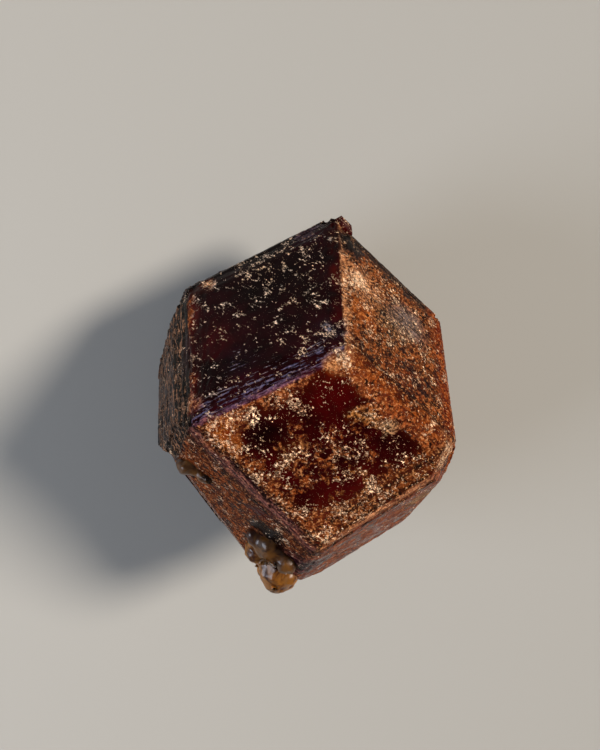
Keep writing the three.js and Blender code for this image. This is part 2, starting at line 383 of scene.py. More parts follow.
# Patches: the middle of each, its radius, and its finish.
PATCHES = (
    ((-20, 13, 9), 4.5, ("#2e0306", "#b28167", 0.06, 0.22, 0.1)),
    ((-20, 21, -2), 1.5, ("#4a1206", "#b27240", 0.70, 0.80, 0.0)),
    ((-22, 5, 19), 1.8, ("#4a1006", "#b6683f", 0.68, 0.60, 0.0)),
    ((-9, 25, 2), 6.5, ("#0e0102", "#fcecdc", 0.10, 0.40, 0.1)),
    ((-5, 22, 10), 3.4, ("#140102", "#fcecdc", 0.10, 0.42, 0.1)),
    # painted reflection: this grey-violet glassy spot stands in for a reflection on the smooth face
    ((-2, 19, 18), 2.0, ("#140a12", "#8488a4", 0.42, 0.62, 0.0)),
    ((4, 26, 7), 3.6, ("#3c1408", "#cb8a60", 0.88, 0.80, 0.0)),
    ((3.6, 21, 12.5), 2.4, ("#5a2408", "#b25f26", 0.90, 0.30, 0.0)),
    ((9.5, 19.5, 8.5), 3.8, ("#1a0b08", "#82593c", 0.60, 0.50, 0.2)),
    ((14.5, 12, 16), 2.8, ("#1e0503", "#5b2711", 0.52, 0.34, 0.1)),
    ((2.4, 31.8, 0.4), 3.0, ("#140a08", "#42302a", 0.42, 0.14, 0.1)),
    # painted sheen: the mauve-grey streaks near the tip stand in for a reflection
    ((-4, 31.8, -3.4), 2.8, ("#1c0c14", "#54424e", 0.52, 0.06, 0.9)),
    # painted sheen: these faint purple streaks stand in for reflections in the face's scratches
    ((-14.5, 12, 16.2), 3.0, ("#1a040c", "#5c5476", 0.30, 0.22, 0.9)),
    ((13, 20, 6), 3.8, ("#30201a", "#84706a", 0.72, 0.30, 0.9)),
    ((11, 12, 18), 3.8, ("#2a0804", "#723013", 0.58, 0.35, 0.2)),
    ((-1.8, 9, 24), 4.0, ("#320202", "#8e4726", 0.12, 0.30, 0.0)),
    ((10.2, 3.6, 24), 2.6, ("#240202", "#8e4726", 0.12, 0.35, 0.0)),
    ((-11, 3.2, 24), 2.8, ("#120202", "#8c542c", 0.20, 0.46, 0.0)),
    ((-17, 1.5, 24), 2.8, ("#602004", "#ae5d21", 0.80, 0.58, 0.0)),
    ((-6, 1, 24), 2.0, ("#3c1004", "#aa7240", 0.62, 0.58, 0.0)),
    ((8, 5.8, 24), 1.5, ("#3c1008", "#b28660", 0.64, 0.62, 0.0)),
    ((3, 7.6, 24), 1.3, ("#421406", "#a2652f", 0.68, 0.55, 0.0)),
    ((5.6, 7.4, 24), 1.3, ("#421406", "#a2652f", 0.68, 0.55, 0.0)),
    ((4.8, -1.1, 24), 1.3, ("#421406", "#a2683a", 0.72, 0.55, 0.0)),
    ((-0.4, -6.6, 24), 1.6, ("#2c0402", "#8c471c", 0.26, 0.42, 0.0)),
    ((3, -2.5, 24), 2.8, ("#300303", "#945421", 0.30, 0.50, 0.0)),
    ((0.5, -11.5, 24), 3.0, ("#461406", "#9a4e21", 0.74, 0.52, 0.0)),
    ((-1, 15.5, 24), 2.0, ("#7a3814", "#db925c", 1.00, 0.78, 0.0)),
    ((0.5, -20.5, 14), 4.0, ("#2a1016", "#764a4b", 0.42, 0.05, 0.6)),
    ((18, -6.6, 14.6), 3.0, ("#6a4432", "#aa8360", 0.66, 0.10, 0.3)),
    ((-8.5, -11.5, 18.3), 2.2, ("#3c0806", "#8c361c", 0.40, 0.30, 0.2)),
    ((-6.4, -15.2, 15.5), 3.2, ("#120a08", "#4b3426", 0.40, 0.20, 0.4)),
    ((18.6, 2.5, 21.6), 2.6, ("#481a0c", "#aa6c44", 0.78, 0.66, 0.0)),
)

# Pitted lines along an edge: the face that holds the line, the neighbour across the edge, how far from the
# edge the line runs, and its width.
PITTED_LINES = (
    ("top", "front_right_upper", 0.7, 0.35),
    ("top", "front_right_upper", 2.5, 0.45),
    ("top", "front_left_upper", 0.6, 0.45),
    ("front_right_upper", "top", 2.2, 0.6),
    ("front_left_upper", "top", 3.2, 0.7),
    ("front_left_upper", "top", 0.4, 0.4),
    ("back_right_upper", "top", 3.2, 0.45),
)
EDGE_BLEND = 0.8  # how far one face's colours reach over an edge
ON_FACE = 0.25  # a point nearer than this to a face's plane wears that face's bands
ON_PITTED_FACE = 0.5  # and one nearer than this has its pitted lines
PATCH_END = 1.5  # a patch is full up to half its radius, and gone at this many radii
BAND_START = 1.6  # a band's strength at the edge, where more than one is full
BAND_FALL = 1.2  # and how much of it goes over the band's width
DRIFT_SEED = 5
DRIFT_REACH = 1.1  # how far the outlines of patches stray
DRIFT_CELLS = 0.4  # cells of that straying for each millimetre
BAND_DRIFT = 0.6  # the share of it that bands have


def finish_values(finish):
    """A finish as nine numbers."""
    bare, crust, *amounts = finish
    return np.array((*linear(bare)[:3], *linear(crust)[:3], *amounts))


def drift_of(points):
    """A smooth random shift for each point, in millimetres, that makes outlines ragged."""
    noise.seed_set(DRIFT_SEED)
    shifts = [noise.turbulence_vector(Vector(p) * DRIFT_CELLS, 3, False) for p in points]
    return DRIFT_REACH * np.array(shifts)


def finish_of(points, gaps):
    """Each point's garnet colour with any painted edge glow, crust colour with any painted sheen, and
    shares of crust, flecks and streaks.
    """
    drift = drift_of(points)
    points = points + drift
    ragged = gaps - BAND_DRIFT * drift @ FACE_NORMALS.T
    weights = np.clip(1 - np.abs(gaps) / EDGE_BLEND, 1e-4, 1) ** 2
    finishes = np.array([finish_values(finish) for finish in FINISHES.values()])
    look = weights @ finishes / weights.sum(1, keepdims=True)
    for face, neighbour, width, finish in BANDS:
        on_face = np.clip(PATCH_END - gaps[:, FACE_NAMES.index(face)] / ON_FACE, 0, 1)
        near = np.clip(BAND_START - BAND_FALL * ragged[:, FACE_NAMES.index(neighbour)] / width, 0, 1)
        share = (on_face * near)[:, None]
        look = look * (1 - share) + finish_values(finish) * share
    for middle, radius, finish in PATCHES:
        distance = np.linalg.norm(points - np.array(middle), axis=1)
        share = np.clip(PATCH_END - distance / radius, 0, 1)[:, None]
        look = look * (1 - share) + finish_values(finish) * share
    return look


def pitted_lines(gaps):
    """How much of a pitted line each point holds."""
    lines = np.zeros(len(gaps))
    for face, neighbour, away, width in PITTED_LINES:
        on_face = gaps[:, FACE_NAMES.index(face)] < ON_PITTED_FACE
        offset = (gaps[:, FACE_NAMES.index(neighbour)] - away) / width
        lines = np.maximum(lines, on_face * np.exp(-(offset**2)))
    return lines


def grain_of(points, gaps):
    """Each point's place across and along its face's striations, and their depth there."""
    own = np.abs(gaps).argmin(1)
    across, along, depth = np.zeros((3, len(points)))
    for face, (neighbour, deepest, reach) in STRIATIONS.items():
        here = own == FACE_NAMES.index(face)
        direction = face_plane(face)[0].cross(face_plane(neighbour)[0]).normalized()
        across[here] = gaps[here, FACE_NAMES.index(neighbour)]
        along[here] = points[here] @ np.array(direction)
        depth[here] = deepest * np.exp(-across[here] / reach)
    return across, along, depth


# ---- the crystal as a grid: each face in fine quads that know their gaps to all twelve face planes ----


def face_polygons(planes):
    """Each plane's corners, in order round its normal."""
    corners = corners_inside(planes)
    for normal, distance in planes:
        on_plane = [c for c in corners if abs(normal.dot(c) - distance) < ON_PLANE]
        middle = sum(on_plane, Vector()) / len(on_plane)
        side = (on_plane[0] - middle).normalized()
        up = normal.cross(side)
        yield sorted(on_plane, key=lambda c: np.arctan2((c - middle).dot(up), (c - middle).dot(side)))


def corner_patch(corner, towards_next, middle, towards_last, steps):
    """A grid over the quarter of a face next to one corner, closer set along the face's edges."""
    even = np.linspace(0, 1, steps + 1)
    eased = even * (EDGE_CROWDING + (1 - EDGE_CROWDING) * even)
    u, v = np.meshgrid(eased, eased, indexing="ij")
    u, v = u[..., None], v[..., None]
    near = np.array(corner) * (1 - u) + np.array(towards_next) * u
    far = np.array(towards_last) * (1 - u) + np.array(middle) * u
    return (near * (1 - v) + far * v).reshape(-1, 3)


def patch_quads(start, steps):
    """The vertex numbers of one patch's quads, counted from start."""
    row = steps + 1
    i, j = np.meshgrid(np.arange(steps), np.arange(steps), indexing="ij")
    low = start + i * row + j
    return np.stack([low, low + row, low + row + 1, low + 1], axis=-1).reshape(-1, 4)


def set_attribute(mesh, name, kind, values):
    """Writes one value, vector or colour for each vertex."""
    key = {"FLOAT": "value", "FLOAT_VECTOR": "vector", "FLOAT_COLOR": "color"}[kind]
    values = np.ascontiguousarray(values, np.float32).ravel()
    mesh.attributes.new(name, kind, "POINT").data.foreach_set(key, values)


def grid_mesh(name, planes, steps, middle=Vector(), finish=None):
    """A body between planes as one closed grid in the frame, with what the growth and the paint need."""
    points, quads, count = [], [], 0
    for polygon in face_polygons(planes):
        centre = sum(polygon, Vector()) / len(polygon)
        for i, corner in enumerate(polygon):
            after = (corner + polygon[(i + 1) % len(polygon)]) / 2
            before = (corner + polygon[i - 1]) / 2
            points.append(corner_patch(corner, after, centre, before, steps) + np.array(middle))
            quads.append(patch_quads(count, steps))
            count += len(points[-1])
    points, quads = np.concatenate(points), np.concatenate(quads)
    mesh = bpy.data.meshes.new(name)
    mesh.from_pydata((points * MM + np.array(CENTRE)).tolist(), [], quads.tolist())
    gaps = np.stack([distance - points @ np.array(normal) for normal, distance in FACE_PLANES], axis=1)
    for face, gap in zip(FACES, gaps.T):
        set_attribute(mesh, "gap_" + face, "FLOAT", gap)
    look = finish_of(points, gaps) if finish is None else np.tile(finish_values(finish), (len(points), 1))
    opaque = np.ones((len(points), 1))
    # the garnet colour carries the painted edge glow of some bands, and the crust colour the painted sheen
    # of others
    set_attribute(mesh, "bare", "FLOAT_COLOR", np.hstack([look[:, 0:3], opaque]))
    set_attribute(mesh, "crust", "FLOAT_COLOR", np.hstack([look[:, 3:6], opaque]))
    for name, values in zip(("cover", "flecks", "streaks"), look[:, 6:].T):
        set_attribute(mesh, name, "FLOAT", values)
    set_attribute(mesh, "pitted_line", "FLOAT", pitted_lines(gaps))
    nearest = np.sort(gaps, axis=1)
    set_attribute(mesh, "edge_gap", "FLOAT", nearest[:, 1])
    set_attribute(mesh, "corner_gap", "FLOAT", nearest[:, 2])
    across, along, depth = grain_of(points, gaps)
    set_attribute(mesh, "grain", "FLOAT_VECTOR", np.stack([across, along, np.zeros(len(points))], axis=1))
    set_attribute(mesh, "groove_depth", "FLOAT", depth)
    return mesh


# ---- the crystal's growth, as Geometry Nodes ----

PLATE_GAP = 0.05  # a point nearer than this to a face's plane can be lifted by its plates
RIB_CELLS = (1.1, 0.07, 0.0)  # cells of the ribs for each millimetre across and along the striations
# Wear, by the gap that it follows: how far it reaches in, and the size that says how deep it goes.
WEAR = {"edge_gap": (1.0, "Edge wear"), "corner_gap": (2.6, "Corner wear")}
GARNET_SIZES = {
    "Step width": 0.4,
    "Striation strength": 1.0,
    "Pit depth": 0.1,
    "Edge wear": 0.28,
    "Corner wear": 0.9,
}


def ended(tree, geometry, material):
    """Ends a Geometry Nodes tree: instances made real, the material set, and the way out."""
    real = add_node(tree, "GeometryNodeRealizeInstances", None, {"Geometry": geometry})
    finished = add_node(tree, "GeometryNodeSetMaterial", None, {"Geometry": real, "Material": material})
    add_node(tree, "NodeGroupOutput", None, {"Geometry": finished})
    return tree


def new_group(name, inputs, output):
    """A Geometry Nodes group with the sockets given, and its input node's outputs."""
    group = bpy.data.node_groups.new(name, "GeometryNodeTree")
    for socket, kind in inputs:
        group.interface.new_socket(socket, in_out="INPUT", socket_type=kind)
    group.interface.new_socket(output[0], in_out="OUTPUT", socket_type=output[1])
    return group, group.nodes.new("NodeGroupInput").outputs


def plate_group():
    """How far a growth plate lifts a point: by all its rise inside the plate, and less over the step."""
    numbers = ("Own gap", "Gap 1", "Gap 2", "Gap 3", "Gap 4", "Rise", "Wobble", "Step width")
    sockets = [(name, FLOAT_SOCKET) for name in numbers]
    group, given = new_group("growth plate", sockets, ("Height", FLOAT_SOCKET))
    node = partial(add_node, group)
    first = node(MATH, SMALLEST, {0: given["Gap 1"], 1: given["Gap 2"]})
    second = node(MATH, SMALLEST, {0: given["Gap 3"], 1: given["Gap 4"]})
    nearest = node(MATH, SMALLEST, {0: first, 1: second})
    wavy = node(MATH, PLUS, {0: nearest, 1: given["Wobble"]})
    softened = node(RANGE, EASED, {"Value": wavy, "From Min": 0.0, "From Max": given["Step width"]})
    own = node(MATH, {"operation": "LESS_THAN"}, {0: given["Own gap"], 1: PLATE_GAP})
    share = node(MATH, TIMES, {0: softened, 1: own})
    height = node(MATH, TIMES, {0: share, 1: given["Rise"]})
    node("NodeGroupOutput", None, {"Height": height})
    return group


def bevel_group():
    """Moves a point that lies outside a bevel's plane straight in onto it."""
    sockets = [("Point", VECTOR_SOCKET), ("Normal", VECTOR_SOCKET), ("Distance", FLOAT_SOCKET)]
    group, given = new_group("bevel", sockets, ("Point", VECTOR_SOCKET))
    node = partial(add_node, group)
    reach = node(VECTOR, DOT, {0: given["Point"], 1: given["Normal"]}, "Value")
    proud = node(MATH, MINUS, {0: reach, 1: given["Distance"]})
    excess = node(MATH, LARGEST, {0: proud, 1: 0.0})
    way_in = node(VECTOR, SCALED, {0: given["Normal"], "Scale": excess})
    point = node(VECTOR, MINUS, {0: given["Point"], 1: way_in})
    node("NodeGroupOutput", None, {"Point": point})
    return group


def garnet_tree():
    """Merges the grid's seams, then bevels, steps, striates, pits and wears the crystal."""
    sockets = [("Geometry", GEOMETRY_SOCKET), ("Material", MATERIAL_SOCKET)]
    sockets += [(name, FLOAT_SOCKET) for name in GARNET_SIZES]
    tree, given = new_group("garnet growth", sockets, ("Geometry", GEOMETRY_SOCKET))
    node = partial(add_node, tree)
    seams = {"Geometry": given["Geometry"], "Distance": MERGE_DISTANCE}
    closed = node("GeometryNodeMergeByDistance", None, seams)
    attribute = {face: node(NAMED_ATTRIBUTE, NUMBERS, {"Name": "gap_" + face}) for face in FACES}
    position = node("GeometryNodeInputPosition")
    centred = node(VECTOR, MINUS, {0: position, 1: CENTRE})
    start = node(VECTOR, SCALED, {0: centred, "Scale": 1 / MM})

    # bevels
    point = start
    bevel = bevel_group()
    for first, second, width in BEVELS:
        normal, distance = bevel_plane(first, second, width)
        values = {"Point": point, "Normal": normal, "Distance": distance}
        point = node("GeometryNodeGroup", {"node_tree": bevel}, values)

    # growth plates, each with a wavy edge
    wavy = node(NOISE, None, {"Vector": start, "Scale": 0.5, "Detail": 4.0, "Roughness": 0.65})
    wobble = {"Value": wavy, "From Min": 0.3, "From Max": 0.7, "To Min": -0.45, "To Max": 0.25}
    wobble = node(RANGE, None, wobble)
    plate = plate_group()
    for face in GROWTH_STEPS:
        normal = face_plane(face)[0]
        last_rise = 0.0
        for rise, insets in growth_plates(face):
            gaps = {"Own gap": attribute[face], "Rise": rise - last_rise, "Wobble": wobble}
            gaps["Step width"] = given["Step width"]
            for number, (neighbour, inset) in enumerate(insets.items(), 1):
                gap = {0: attribute[neighbour], 1: float(inset)}
                gaps[f"Gap {number}"] = node(MATH, MINUS, gap)
            height = node("GeometryNodeGroup", {"node_tree": plate}, gaps)
            lift = node(VECTOR, SCALED, {0: normal, "Scale": height})
            point = node(VECTOR, PLUS, {0: point, 1: lift})
            last_rise = rise

    # striations, pits, and wear along edges and at corners
    grain = node(NAMED_ATTRIBUTE, VECTORS, {"Name": "grain"})
    depth = node(NAMED_ATTRIBUTE, NUMBERS, {"Name": "groove_depth"})
    stretched = node(VECTOR, TIMES, {0: grain, 1: RIB_CELLS})
    fine = {"Detail": 3.0, "Roughness": 0.6}
    ribs = node(NOISE, None, {"Vector": stretched, "Scale": 1.0, **fine})
    ribbed = {"Value": ribs, "From Min": 0.3, "From Max": 0.7, "To Min": 1.0, "To Max": 0.0}
    ribbed = node(RANGE, None, ribbed)
    groove = node(MATH, TIMES, {0: ribbed, 1: depth})
    groove = node(MATH, TIMES, {0: groove, 1: given["Striation strength"]})

    hollows = node(NOISE, None, {"Vector": start, "Scale": 0.9, **fine})
    pit = {"Value": hollows, "From Min": 0.5, "From Max": 0.68, "To Min": 0.0, "To Max": given["Pit depth"]}
    pit = node(RANGE, EASED, pit)
    inward = node(MATH, PLUS, {0: groove, 1: pit})
    chipped = node(NOISE, None, {"Vector": start, "Scale": 0.55, **fine})
    for gap, (reach, wear) in WEAR.items():
        away = node(NAMED_ATTRIBUTE, NUMBERS, {"Name": gap})
        close = {"Value": away, "From Min": 0.0, "From Max": reach, "To Min": 1.0, "To Max": 0.0}
        close = node(RANGE, EASED, close)
        bite = {"Value": chipped, "From Min": 0.45, "From Max": 0.65, "To Min": 0.0, "To Max": 1.0}
        bite = node(RANGE, EASED, bite)
        worn = node(MATH, TIMES, {0: close, 1: bite})
        inward = node(MATH, TIMES_PLUS, {0: worn, 1: given[wear], 2: inward})
    outward_normal = node("GeometryNodeInputNormal")
    sunk = node(VECTOR, SCALED, {0: outward_normal, "Scale": inward})
    point = node(VECTOR, MINUS, {0: point, 1: sunk})

    in_metres = node(VECTOR, SCALED, {0: point, "Scale": MM})
    placed = node(VECTOR, PLUS, {0: in_metres, 1: CENTRE})
    moved = node("GeometryNodeSetPosition", None, {"Geometry": closed, "Position": placed})
    smooth = node("GeometryNodeSetShadeSmooth", None, {"Geometry": moved, "Shade Smooth": True})
    return ended(tree, smooth, given["Material"])


def grown(obj, tree, values):
    """Runs a Geometry Nodes tree on an object with its named inputs set, and keeps the plain mesh."""
    modifier = obj.modifiers.new("growth", "NODES")
    modifier.node_group = tree
    for item in tree.interface.items_tree:
        if item.in_out == "INPUT" and item.name in values:
            modifier[item.identifier] = values[item.name]
    return applied(obj)


# ---- materials ----


def new_material(name):
    """An empty node material and its tree."""
    made = bpy.data.materials.new(name)
    made.use_nodes = True
    made.node_tree.nodes.clear()
    return made, made.node_tree


# Noise patterns on the garnet: what each follows, cells for each millimetre, detail, roughness, distortion.
GARNET_NOISES = {
    "tone": ("place", 0.2, 4.0, 0.6, 0.0),
    "islands": ("place", 0.42, 7.0, 0.72, 0.3),
    "grit": ("place", 1.15, 4.0, 0.72, 0.0),
    "frost": ("place", 2.4, 2.0, 0.6, 0.4),
    "hollows": ("place", 1.0, 5.0, 0.7, 0.0),
    "fibres": ("grain", 1.0, 4.0, 0.65, 0.2),
}
FIBRE_CELLS = (2.9, 0.27, 0.0)  # cells for each millimetre across and along the striations
FLECK_RUN = (0.573, -0.164, 0.803)  # the way that the dashes lie
FLECK_JOLT = 0.22  # how far they are bent, in millimetres
FLECK_STRETCH = 0.72  # how much of the pattern's length along the run is taken out, which draws it long
FLECK_WISH = 0.34  # how strongly the wish for flecks crowds them
FLECK_THIN = 0.355  # how much thinner they lie everywhere
FLECK_CLUMP = 1.35  # how strongly they gather in clumps
DASH_SHARE = 0.46  # how strongly a crowd widens the dashes
COVER_SHARE = 0.5  # how strongly the wish for crust sways it
GRIT_SHARE = 0.3  # how strongly grit breaks its outline
FROST_SHARE, FROST_THIN = 0.12, 0.05
COMBED_SHARE = 0.75  # how far a streaked crust takes its tone from the fibres
FROST_TINT = 0.4
DARK_PIT, PALE_FLECK, GOLD_FROST = "#120503", "#ffd8b0", "#e4a66c"
# Relief heights in millimetres.
CRUST_RELIEF, FLECK_RELIEF, FROST_RELIEF, PIT_RELIEF, HOLLOW_RELIEF = 0.3, 0.12, 0.1, -0.12, 0.05
GARNET_IOR = 1.79
QUARTZ_IOR = 1.54
SMOKE_WANDER = 8.0  # how far wisps move the height where the quartz darkens, in millimetres


def fleck_nodes(tree, place, flecks):
    """How much of a bright fleck a place holds: dashes and curls, crowded where flecks are wanted."""
    node = partial(add_node, tree)
    jolts = node(NOISE, {"normalize": False}, {"Vector": place, "Scale": 2.6, "Detail": 1.0}, "Color")
    jolts = node(VECTOR, SCALED, {0: jolts, "Scale": FLECK_JOLT})
    place = node(VECTOR, PLUS, {0: place, 1: jolts})
    run = node(VECTOR, DOT, {0: place, 1: FLECK_RUN}, "Value")
    run = node(MATH, TIMES, {0: run, 1: -FLECK_STRETCH})
    run = node(VECTOR, SCALED, {0: FLECK_RUN, "Scale": run})
    drawn = node(VECTOR, PLUS, {0: place, 1: run})
    dashes = {"Vector": drawn, "Scale": 3.1, "Detail": 3.0, "Roughness": 0.6, "Distortion": 0.4}
    dashes = node(NOISE, None, dashes)
    curls = node(NOISE, None, {"Vector": place, "Scale": 1.2, "Detail": 3.0, "Distortion": 1.0})
    clumps = node(NOISE, None, {"Vector": place, "Scale": 0.34, "Detail": 5.0, "Roughness": 0.65})
    crowd = node(MATH, TIMES_PLUS, {0: flecks, 1: FLECK_WISH, 2: -FLECK_THIN})
    crowd = node(MATH, TIMES_PLUS, {0: clumps, 1: FLECK_CLUMP, 2: crowd})
    lift = node(MATH, TIMES_PLUS, {0: crowd, 1: DASH_SHARE, 2: -DASH_SHARE / 2})
    dash = node(MATH, PLUS, {0: dashes, 1: lift})
    dash = node(RANGE, EASED, {"Value": dash, "From Min": 0.605, "From Max": 0.64})
    away = node(MATH, MINUS, {0: curls, 1: 0.5})
    away = node(MATH, {"operation": "ABSOLUTE"}, {0: away})
    width = {"Value": crowd, "From Min": 0.53, "From Max": 0.68, "To Min": 0.0001, "To Max": 0.024}
    width = node(RANGE, None, width)
    curl = {"Value": away, "From Min": 0.0, "From Max": width, "To Min": 1.6, "To Max": 0.0}
    curl = node(RANGE, EASED, curl)
    return node(MATH, {"operation": "MAXIMUM", "use_clamp": True}, {0: dash, 1: curl})


def garnet_material():
    """Natural garnet: wine-red and glassy where no crust lies, matt golden brown under its iron-stained
    crust, with painted sheen, edge glow and glints.
    """
    made, tree = new_material("natural_garnet")
    node = partial(add_node, tree)
    attributes = {
        name: node(ATTRIBUTE, {"attribute_name": name}, None, output)
        for name, output in (
            ("bare", "Color"),
            ("crust", "Color"),
            ("cover", "Fac"),
            ("flecks", "Fac"),
            ("streaks", "Fac"),
            ("pitted_line", "Fac"),
            ("grain", "Vector"),
        )
    }
    metres = node("ShaderNodeTexCoord", None, None, "Object")
    coordinates = {
        "place": node(VECTOR, SCALED, {0: metres, "Scale": 1 / MM}),
        "grain": node(VECTOR, TIMES, {0: attributes["grain"], 1: FIBRE_CELLS}),
    }
    level = {}
    for name, (where, scale, detail, roughness, distortion) in GARNET_NOISES.items():
        values = {"Vector": coordinates[where], "Scale": scale, "Detail": detail}
        values |= {"Roughness": roughness, "Distortion": distortion}
        level[name] = node(NOISE, None, values)

    # where crust lies, and the painted sheen in the sheen bands: islands on most faces, streaks where the
    # face is striated
    laid = {"Factor": attributes["streaks"], "A": level["islands"], "B": level["fibres"]}
    laid = node(MIX, NUMBERS, laid)
    wanted = node(MATH, TIMES_PLUS, {0: attributes["cover"], 1: COVER_SHARE, 2: -COVER_SHARE / 2})
    laid = node(MATH, PLUS, {0: laid, 1: wanted})
    broken = node(MATH, TIMES_PLUS, {0: level["grit"], 1: GRIT_SHARE, 2: -GRIT_SHARE / 2})
    laid = node(MATH, PLUS, {0: laid, 1: broken})
    crust_and_sheen_cover = node(RANGE, EASED, {"Value": laid, "From Min": 0.47, "From Max": 0.54})
    fleck = fleck_nodes(tree, coordinates["place"], attributes["flecks"])

    # frost: bright grains that stand in the crust
    bright = node(MATH, TIMES_PLUS, {0: attributes["flecks"], 1: FROST_SHARE, 2: -FROST_THIN})
    bright = node(MATH, PLUS, {0: bright, 1: level["frost"]})
    bright = node(RANGE, EASED, {"Value": bright, "From Min": 0.56, "From Max": 0.63})
    bright = node(MATH, TIMES, {0: bright, 1: crust_and_sheen_cover})

    # dark pits: in the crust, and along the pitted lines
    pitted = node(RANGE, EASED, {"Value": level["hollows"], "From Min": 0.57, "From Max": 0.64})
    pitted = node(MATH, TIMES, {0: pitted, 1: crust_and_sheen_cover})
    dotted = node(RANGE, EASED, {"Value": level["grit"], "From Min": 0.46, "From Max": 0.52})
    dotted = node(MATH, TIMES, {0: dotted, 1: attributes["pitted_line"]})
    pitted = node(MATH, LARGEST, {0: pitted, 1: dotted})

    # the garnet's own colour, with the painted edge glow in its glow bands, and the crust's where it lies,
    # with the painted sheen in the sheen bands
    glow = {"Value": level["tone"], "From Min": 0.35, "From Max": 0.65, "To Min": 0.4, "To Max": 1.6}
    glow = node(RANGE, None, glow)
    stone_and_edge_glow = node(VECTOR, SCALED, {0: attributes["bare"], "Scale": glow})
    combed = node(MATH, TIMES, {0: attributes["streaks"], 1: COMBED_SHARE})
    gritty = node(MIX, NUMBERS, {"Factor": combed, "A": level["grit"], "B": level["fibres"]})
    gritty = node(RANGE, EASED, {"Value": gritty, "From Min": 0.42, "From Max": 0.58})
    gritty = node(MATH, TIMES, {0: gritty, 1: crust_and_sheen_cover})
    faded = {"Value": level["tone"], "From Min": 0.35, "From Max": 0.65, "To Min": 1.25, "To Max": 0.65}
    faded = node(RANGE, None, faded)
    sharp = {"Value": level["frost"], "From Min": 0.35, "From Max": 0.65, "To Min": 0.35, "To Max": 1.45}
    sharp = node(RANGE, None, sharp)
    faded = node(MATH, TIMES, {0: faded, 1: sharp})
    crust_and_sheen_colour = node(VECTOR, SCALED, {0: attributes["crust"], "Scale": faded})
    colour = node(MIX, COLOURS, {"Factor": gritty, "A": stone_and_edge_glow, "B": crust_and_sheen_colour}, "Result")

    # over them the pits, the frost and the flecks, some flecks brightened by a painted glint
    pit = {"Factor": pitted, "A": colour, "B": linear(DARK_PIT)}
    colour = node(MIX, COLOURS, pit, "Result")
    paleness = {"Value": level["tone"], "From Min": 0.4, "From Max": 0.6, "To Min": 0.4, "To Max": 1.0}
    paleness = node(RANGE, None, paleness)
    pale = {"Factor": paleness, "A": attributes["crust"], "B": linear(PALE_FLECK)}
    pale = node(MIX, COLOURS, pale, "Result")
    frosted = {"Factor": FROST_TINT, "A": attributes["crust"], "B": linear(GOLD_FROST)}
    frosted = node(MIX, COLOURS, frosted, "Result")
    colour = node(MIX, COLOURS, {"Factor": bright, "A": colour, "B": frosted}, "Result")
    # painted glint: the flecks' pale colour is real, and this scale, up to 1.8, brightens some of them to
    # stand in for glints
    glint_scale = {"Value": level["frost"], "From Min": 0.38, "From Max": 0.62, "To Min": 0.25, "To Max": 1.8}
    glint_scale = node(RANGE, None, glint_scale)
    pale = node(VECTOR, SCALED, {0: pale, "Scale": glint_scale})
    colour = node(MIX, COLOURS, {"Factor": fleck, "A": colour, "B": pale}, "Result")

    # gloss and relief
    matt = node(MATH, LARGEST, {0: crust_and_sheen_cover, 1: fleck})
    gloss = node(RANGE, None, {"Value": matt, "To Min": 0.18, "To Max": 0.6})
    height = node(MATH, TIMES, {0: crust_and_sheen_cover, 1: level["grit"]})
    height = node(MATH, TIMES, {0: height, 1: CRUST_RELIEF})
    for where, lift in (
        (fleck, FLECK_RELIEF),
        (bright, FROST_RELIEF),
        (pitted, PIT_RELIEF),
        (level["hollows"], HOLLOW_RELIEF),
    ):
        height = node(MATH, TIMES_PLUS, {0: where, 1: lift, 2: height})
    relief = node("ShaderNodeBump", None, {"Strength": 0.8, "Distance": MM, "Height": height})
    surface = {"Base Color": colour, "Roughness": gloss, "Normal": relief}
    surface |= {"IOR": GARNET_IOR, "Specular IOR Level": 0.022}
    shader = node(PRINCIPLED, None, surface)
    node(MATERIAL_OUTPUT, None, {"Surface": shader})
    return made


def frost_material():
    """Grains of quartz and mica frost: pale cream to gold, some orange, with a waxy gloss."""
    made, tree = new_material("mineral_frost")
    node = partial(add_node, tree)
    tone = node(ATTRIBUTE, {"attribute_name": "tone"}, None, "Fac")
    # in the sheen bands this crust colour is the painted sheen, which tints the grains there
    crust = node(ATTRIBUTE, {"attribute_name": "crust"}, None, "Color")
    warm = node(MIX, COLOURS, {"Factor": tone, "A": crust, "B": linear("#ffdfc0")}, "Result")
    metres = node("ShaderNodeTexCoord", None, None, "Object")
    cloudy = node(NOISE, None, {"Vector": metres, "Scale": 4 / MM, "Detail": 2.0})
    shade = {"Value": cloudy, "From Min": 0.3, "From Max": 0.7, "To Min": 0.6, "To Max": 1.15}
    shade = node(RANGE, None, shade)
    colour = node(VECTOR, SCALED, {0: warm, "Scale": shade})
    surface = {"Base Color": colour, "Roughness": 0.2, "IOR": QUARTZ_IOR}
    shader = node(PRINCIPLED, None, surface)
    node(MATERIAL_OUTPUT, None, {"Surface": shader})
    return made


